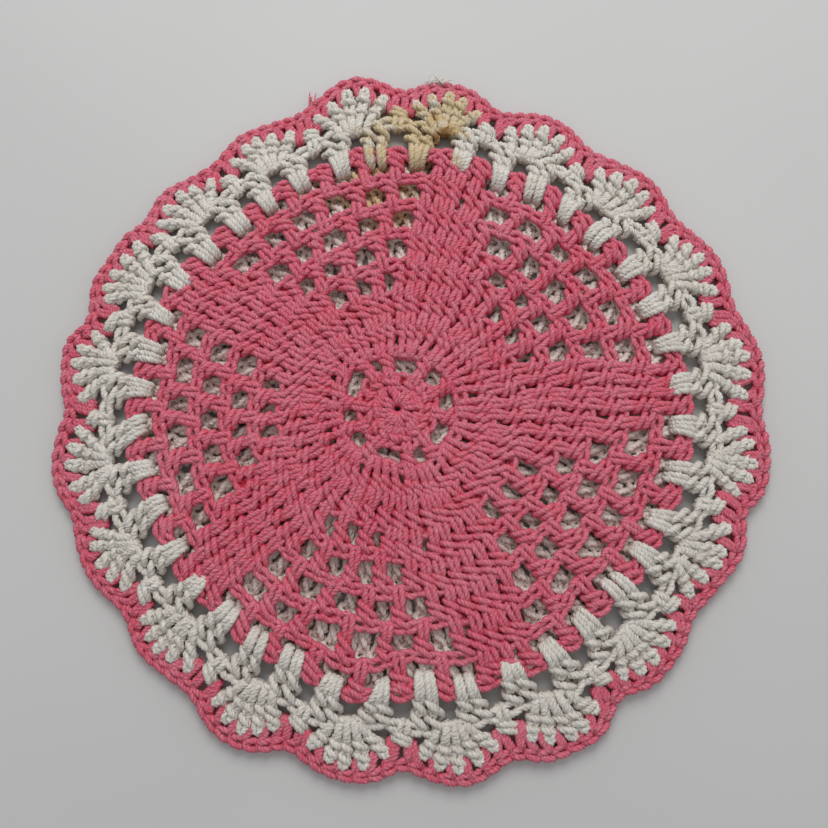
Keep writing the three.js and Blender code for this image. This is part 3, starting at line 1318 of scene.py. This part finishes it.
@dataclass
class Border:
    """The white joining pairs and shells, and the pink edging."""

    ground: Ground
    yarn: Yarn
    edging_yarn: Yarn
    white: YarnFinish
    pink: YarnFinish
    lie: Lie
    rim: float
    joining_top: float
    turn: float = BLOCK_TURN
    squash: float = 0.85
    pairs: int = 40
    pair_foot_step: float = 2.0
    pair_head_step: float = 4.3
    pair_foot_width: float = 2.4
    pair_head_width: float = 4.5
    pair_reach: float = 3.6
    link: float = 3.5
    shells: int = 20
    shell_stitches: int = 5
    shell_foot_step: float = 1.75
    shell_foot_width: float = 2.1
    shell_head_step: float = 2.95
    shell_head_width: float = 3.6
    shell_heads: tuple[float, float, float] = (91.0, 90.1, 88.2)
    anchor_head: float = 86.2
    anchor_width: float = 4.4
    leg_spots: tuple[Pair, ...] = ((1.5, 89.3), (4.4, 87.8), (7.1, 85.7), (7.8, 85.2))
    leg_width: float = 1.8
    peak: float = PEAK_RADIUS
    valley: float = 92.0
    roundness: float = 0.8
    valley_round: float = 0.3
    braid_half: float = 1.72
    seed: int = 71

    def build(self) -> list[bpy.types.Object]:
        """Builds the joining round, the shells and the edging."""
        white, pink = self.white.material(), self.pink.material()
        return [
            finished_piece(self.joining_round(), "joining_round", white),
            finished_piece(self.shell_round(), "shell_round", white),
            finished_piece(self.edging_round(), "edging_round", pink),
        ]

    def strand(self, yarn: Yarn) -> Worked:
        """A new strand on the border."""
        return Worked(self.ground, self.lie, yarn, squash=self.squash)

    def joining_round(self) -> Worked:
        """Pairs of long stitches that reach over the rim of both layers, with chains between."""
        number = np.arange(self.pairs * 2)
        side = number % 2 - 0.5
        middle = self.turn + FULL_TURN / self.pairs * (number // 2)
        feet = Spots.at(middle, self.rim - self.pair_reach, self.pair_foot_width)
        heads = Spots.at(middle, self.joining_top, self.pair_head_width)
        feet, heads = feet.moved(side * self.pair_foot_step), heads.moved(side * self.pair_head_step)
        hand = Hand(self.seed)
        return self.strand(self.yarn).whole_round(JOINING_STITCH, feet, heads, hand, link=self.link)

    def shell_round(self) -> Worked:
        """Shells of five in every other space, and one short stitch in the spaces between."""
        worked = self.strand(self.yarn)
        shell_turn = self.turn + HALF_TURN / self.pairs
        shell, place = np.divmod(np.arange(self.shells * self.shell_stitches), self.shell_stitches)
        step = place - (self.shell_stitches - 1) / 2
        middle = shell_turn + FULL_TURN / self.shells * shell
        feet = Spots.at(middle, self.joining_top, self.shell_foot_width)
        head = np.array(self.shell_heads)[np.abs(step).astype(int)]
        heads = Spots.at(middle + step * self.shell_head_step, head, self.shell_head_width)
        order = shell * (self.shell_stitches + 1) + place.astype(float)
        hand = Hand(self.seed + 1)
        worked.stitches(FINGER_STITCH, order, feet.moved(step * self.shell_foot_step), heads, hand)
        anchor = np.arange(self.shells)
        anchor_turn = shell_turn + FULL_TURN / self.shells * (anchor + 0.5)
        low = Spots.at(anchor_turn, self.joining_top, self.anchor_width)
        high = Spots.at(anchor_turn, self.anchor_head, self.anchor_width)
        anchor_order = anchor * (self.shell_stitches + 1) + float(self.shell_stitches)
        worked.stitches(LONG_STITCH, anchor_order, low, high, Hand(self.seed + 2))
        every = np.concatenate([order, anchor_order])
        sort = np.argsort(every)
        worked.tops(UNDER_LOOP, every[sort], heads.joined(high).chosen(sort), hand)
        return worked

    def edging_round(self) -> Worked:
        """Short stitches worked down between the shells' fingers, with a braid on the scalloped edge.

        The feet stand in the gaps between fingers and go deepest beside the anchors; the heads are
        evenly spaced along the scallop, whose radius runs between valley and peak as a power of the
        cosine of the angle from a shell's middle.

        Returns:
            The strand.
        """
        period = FULL_TURN / self.shells
        right = np.array(self.leg_spots)
        one_shell = np.concatenate([right[::-1] * (-1.0, 1.0), right])
        each = len(one_shell)
        middle = self.turn + HALF_TURN / self.pairs + period * np.repeat(np.arange(self.shells), each)
        phase, foot = np.tile(one_shell, (self.shells, 1)).T
        head_phase = np.tile(period * ((np.arange(each) + 0.5) / each - 0.5), self.shells)
        soft = self.valley_round
        rise = np.hypot(np.cos(np.radians(head_phase * self.shells / 2)), soft) - soft
        rise = (rise / (math.hypot(1.0, soft) - soft)) ** self.roundness
        head = between(self.valley, self.peak, rise) - self.braid_half
        feet = Spots.at(middle + phase, foot, self.leg_width)
        heads = Spots.at(middle + head_phase, head, self.leg_width)
        worked = self.strand(self.edging_yarn)
        return worked.whole_round(EDGING_STITCH, feet, heads, Hand(self.seed + 3), top=BRAID_LOOP)


@dataclass(frozen=True)
class Tuft:
    """A frayed end: where it comes out, which way it points, and its fibres."""

    name: str
    slot: Slot
    radius: float
    degrees: float
    height: float
    heading: float
    fibres: int
    reach: Pair
    spread: float
    rooted: float
    seed: int


WHITE_TUFT = Tuft("white_tuft", Slot.BORDER, 94.4, 84.0, 3.4, 84.0, 30, (1.3, 3.3), 70.0, 3.0, 81)
PINK_FIBRES = Tuft("pink_fibres", Slot.PINK, 93.4, 105.0, 2.6, 112.0, 5, (1.8, 3.6), 38.0, 1.6, 82)


@dataclass
class LooseEnds:
    """Frayed yarn ends that stick out of the edging."""

    ground: Ground
    tufts: tuple[tuple[Tuft, YarnFinish], ...]
    fibre: Yarn = Yarn(diameter=0.42, plies=1, sides=5, step=0.45)
    root: float = -0.25
    points: int = 6
    uneven_height: float = 0.8
    curl: float = 0.35
    droop: float = -0.22
    climb: float = 0.12
    climb_spread: float = 0.35
    tip: float = 0.3

    def build(self) -> list[bpy.types.Object]:
        """Builds each tuft as one piece of many fibres."""
        pieces = []
        for tuft, finish in self.tufts:
            mesh = YarnMesh(self.fibre, self.fibres(tuft))
            piece = mesh.build(f"loose_{tuft.name}", finish.material())
            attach(piece, "root")
            log.info("%s: %d fibres", piece.name, len(mesh.lengths))
            pieces.append(piece)
        return pieces

    def fibres(self, tuft: Tuft) -> list[Length]:
        """The fibres of a tuft: each leaves its root along its own heading and curls and droops.

        Args:
            tuft: The tuft.

        Returns:
            One length to a fibre.
        """
        draw = np.random.default_rng(tuft.seed).uniform(-1.0, 1.0, (tuft.fibres, 5))
        root = self.ground.place(
            np.full(tuft.fibres, tuft.radius),
            tuft.degrees + np.degrees(draw[:, 0] * tuft.rooted / tuft.radius),
            tuft.height + self.uneven_height * draw[:, 1],
        )
        heading = np.radians(tuft.heading + tuft.spread * draw[:, 2])
        reach = between(*tuft.reach, (draw[:, 3] + 1) / 2)
        cosine, sine = np.cos(heading), np.sin(heading)
        ahead = np.stack([cosine, sine, self.climb + self.climb_spread * draw[:, 1]], 1)
        aside = np.stack([-sine, cosine, np.zeros(tuft.fibres)], 1)
        share = np.linspace(self.root, 1.0, self.points)[None, :, None]
        curl = self.curl * draw[:, 4][:, None, None] * share**2
        droop = np.array([0.0, 0.0, self.droop]) * share**2
        lines = root[:, None] + reach[:, None, None] * (
            share * ahead[:, None] + curl * aside[:, None] + droop
        )
        step = self.fibre.step
        return [Length(drawn_line(line, False, step), False, self.tip) for line in lines]


# ---------------------------------------------------------------- studio


@dataclass(frozen=True)
class Studio:
    """A pale floor, soft light, and a camera nearly overhead."""

    floor_side: float = 6.0
    floor_colour: Colour = linear(206, 205, 202)
    floor_patches: float = 5.0
    floor_patch_tone: float = 0.94
    floor_roughness: float = 0.7
    elevation: float = 79.4
    distance: float = 0.2392
    aim: Vec3 = (0.0004, -0.0019, 0.0035)
    view_angle: float = 49.6
    sensor: float = 36.0
    sky: float = 0.455
    sky_colour: Colour = (0.93, 0.96, 1.0)

    def build(self) -> None:
        """Makes the camera, the floor and the lights."""
        self.camera()
        self.floor()
        self.lights()
        bpy.context.scene.view_settings.view_transform = "Standard"

    def stand(self, name: str, data: bpy.types.ID, place: Vector, target: Vector) -> bpy.types.Object:
        """Stands a camera or a light at a place and turns it to a target.

        Args:
            name: Its name.
            data: The camera or the light.
            place: Where it stands, in metres.
            target: What it is turned to, in metres.

        Returns:
            The object.
        """
        stood = bpy.data.objects.new(name, data)
        stood.location = place
        stood.rotation_mode = "QUATERNION"
        stood.rotation_quaternion = (-(place - target)).to_track_quat("-Z", "Y")
        bpy.context.scene.collection.objects.link(stood)
        return stood

    def camera(self) -> None:
        """The camera, looking at the pad from the -Y side."""
        data = bpy.data.cameras.new("camera")
        data.sensor_width = self.sensor
        data.lens = self.sensor / 2 / math.tan(math.radians(self.view_angle) / 2)
        data.clip_start, data.clip_end = 0.01, 50.0
        tilt, aim = math.radians(self.elevation), Vector(self.aim)
        back = Vector((0.0, -math.cos(tilt), math.sin(tilt)))
        bpy.context.scene.camera = self.stand("camera", data, aim + back * self.distance, aim)

    def floor(self) -> None:
        """A wide matt floor under the pad."""
        half = self.floor_side / 2
        corners = half * np.array([(-1, -1, 0), (1, -1, 0), (1, 1, 0), (-1, 1, 0)])
        mesh = filled_mesh("floor", corners, np.array([[0, 1, 2, 3]]), [])
        sheet = Sheet("floor_paint")
        grain = sheet.noise(sheet.coordinates(self.floor_patches), 2.0)
        darker = tuple(channel * self.floor_patch_tone for channel in self.floor_colour)
        colour = sheet.mix(sheet.remap(grain, (0.3, 0.7), (0.0, 1.0)), self.floor_colour, darker)
        sheet.feed(sheet.shader.inputs["Base Color"], colour)
        sheet.feed(sheet.shader.inputs["Roughness"], self.floor_roughness)
        mesh.materials.append(sheet.material)
        floor = bpy.data.objects.new("floor", mesh)
        bpy.context.scene.collection.objects.link(floor)

    def lights(self) -> None:
        """A broad soft light from above and behind, a weak one from the right, and a pale sky."""
        self.area("window", (0.0, 0.45, 0.55), 0.4, 2.65)
        self.area("fill", (0.8, 0.1, 0.7), 0.9, 0.6)
        world = bpy.data.worlds.new("sky")
        world.use_nodes = True
        background = world.node_tree.nodes["Background"]
        background.inputs["Color"].default_value = (*self.sky_colour, 1.0)
        background.inputs["Strength"].default_value = self.sky
        bpy.context.scene.world = world

    def area(self, name: str, place: Vec3, side: float, power: float) -> None:
        """One square light aimed at the pad.

        Args:
            name: Its name.
            place: Where it stands, in metres.
            side: Its side, in metres.
            power: Its power, in watts.
        """
        data = bpy.data.lights.new(name, "AREA")
        data.size, data.energy = side, power
        self.stand(name, data, Vector(place), Vector())


# ---------------------------------------------------------------- making it

PINK_COTTON = YarnFinish(
    "pink_cotton",
    body=linear(205, 84, 106),
    # the pale colour is also painted as highlight on ply crests
    pale_and_highlight=linear(235, 154, 169),
    # the deep colour is painted shade in hollows and ply valleys, also used for random blotches
    shade_and_blotch=linear(234, 40, 78),
)
WHITE_COTTON = YarnFinish(
    "white_cotton",
    body=linear(224, 217, 206),
    # the pale colour is also painted as highlight on ply crests
    pale_and_highlight=linear(242, 238, 230),
    # the deep colour is painted shade in hollows and ply valleys, also used for random blotches
    shade_and_blotch=linear(196, 180, 162),
    # weaker painted shade on yarn deep in the fabric
    cavity_shade=0.7,
)
# a brighter, pinker copy of the white finish for the back layer, which lies in shade under the pink
# front: painted light and painted pink bounce light
BOUNCE_LIT_COTTON = replace(WHITE_COTTON, body=linear(236, 220, 210), shade_and_blotch=linear(214, 176, 164))
TAN = linear(240, 220, 178)
BROWN = linear(190, 160, 124)
BORDER_MARKS = (
    Mark(74.0, 87.5, (16.0, 17.5), 0.9, TAN),
    Mark(86.0, 79.5, (8.0, 9.0), 0.85, TAN),
    Mark(78.0, 82.5, (4.2, 3.2), 0.9, BROWN),
)
BACK_MARKS = (
    Mark(63.0, 95.0, (16.0, 12.0), 0.95, TAN),
    Mark(73.0, 84.0, (12.0, 8.0), 0.9, BROWN),
)


def row_radii(ground: Ground, layer: str, names: list[str]) -> dict[str, float]:
    """The radius of each row's line on a layer, centre out, from its CAD rounds."""
    return {name: ground.outer_radius(f"{layer}_{name}") - ROW_INSET for name in names}


def front_rows(ground: Ground) -> dict[str, float]:
    """The front layer's rows, with the two that the work draws out."""
    names = ["centre_ring", "second_round", "eyelet_round", "fan_round"]
    names += [f"pinwheel_round_{k}" for k in range(1, PINWHEEL_ROUNDS + 1)]
    rows = row_radii(ground, "front", names)
    rows["second_round"] += SECOND_STRETCH
    rows["eyelet_round"] += EYELET_STRETCH
    return rows


def back_rows(ground: Ground) -> dict[str, float]:
    """The back layer's rows."""
    names = ["centre_ring", *(f"round_{k}" for k in range(1, BACK_ROUNDS + 1))]
    return row_radii(ground, "back", names)


def layer_lies(rim: float, joining_top: float) -> tuple[Lie, Lie, Lie]:
    """How the front, the back and the border lie: the layers close up at the rim.

    Args:
        rim: The layers' outer radius.
        joining_top: The joining round's outer radius in the frame.

    Returns:
        The three lies.
    """
    rim_level, shell_level = mid_height("joining_round"), mid_height("shell_round")
    front_level, back_level = mid_height("front_centre_ring"), mid_height("back_centre_ring")
    closing = rim - CLOSING_WIDTH
    front, back = (
        Lie(((closing, level + rises[0]), (rim, rim_level + rises[1])))
        for level, rises in ((front_level, FRONT_RISES), (back_level, BACK_RISES))
    )
    border = Lie((
        (rim, rim_level),
        (joining_top, (rim_level + shell_level) / 2 + BORDER_RISES[0]),
        (joining_top + BORDER_WIDTHS[0], shell_level + BORDER_RISES[1]),
        (joining_top + BORDER_WIDTHS[1], mid_height("edging_round")),
    ))
    return front, back, border


def main() -> None:
    """Builds the studio and every piece of the pad."""
    logging.basicConfig(level=logging.INFO, format="%(message)s")
    Studio().build()
    ground = Ground(crochet_centre("front_centre_ring", Ground.looseness))
    rim = ground.outer_radius(f"front_pinwheel_round_{PINWHEEL_ROUNDS}")
    joining_top = ground.outer_radius("joining_round")
    front_lie, back_lie, border_lie = layer_lies(rim, joining_top)
    marked_border = replace(WHITE_COTTON, name="border_cotton", ground=ground, marks=BORDER_MARKS)
    marked_back = replace(BOUNCE_LIT_COTTON, name="back_cotton", ground=ground, marks=BACK_MARKS)
    FrontLayer(ground, Yarn(), PINK_COTTON, front_lie, front_rows(ground)).build()
    back_yarn = Yarn(diameter=2.0, sides=6, step=1.05)
    BackLayer(ground, back_yarn, marked_back, back_lie, back_rows(ground)).build()
    Border(
        ground,
        yarn=Yarn(diameter=2.0, step=0.86),
        edging_yarn=Yarn(diameter=1.86, step=0.8),
        white=marked_border,
        pink=PINK_COTTON,
        lie=border_lie,
        rim=rim,
        joining_top=joining_top + JOINING_STRETCH,
    ).build()
    # frayed ends get no painted shade and no ply relief
    frayed_white, frayed_pink = (
        replace(finish, name=f"frayed_{finish.name}", cavity_shade=0.0, ply_valley_shade=0.0, relief=0.0)
        for finish in (WHITE_COTTON, PINK_COTTON)
    )
    LooseEnds(ground, ((WHITE_TUFT, frayed_white), (PINK_FIBRES, frayed_pink))).build()


if __name__ == "__main__":
    main()
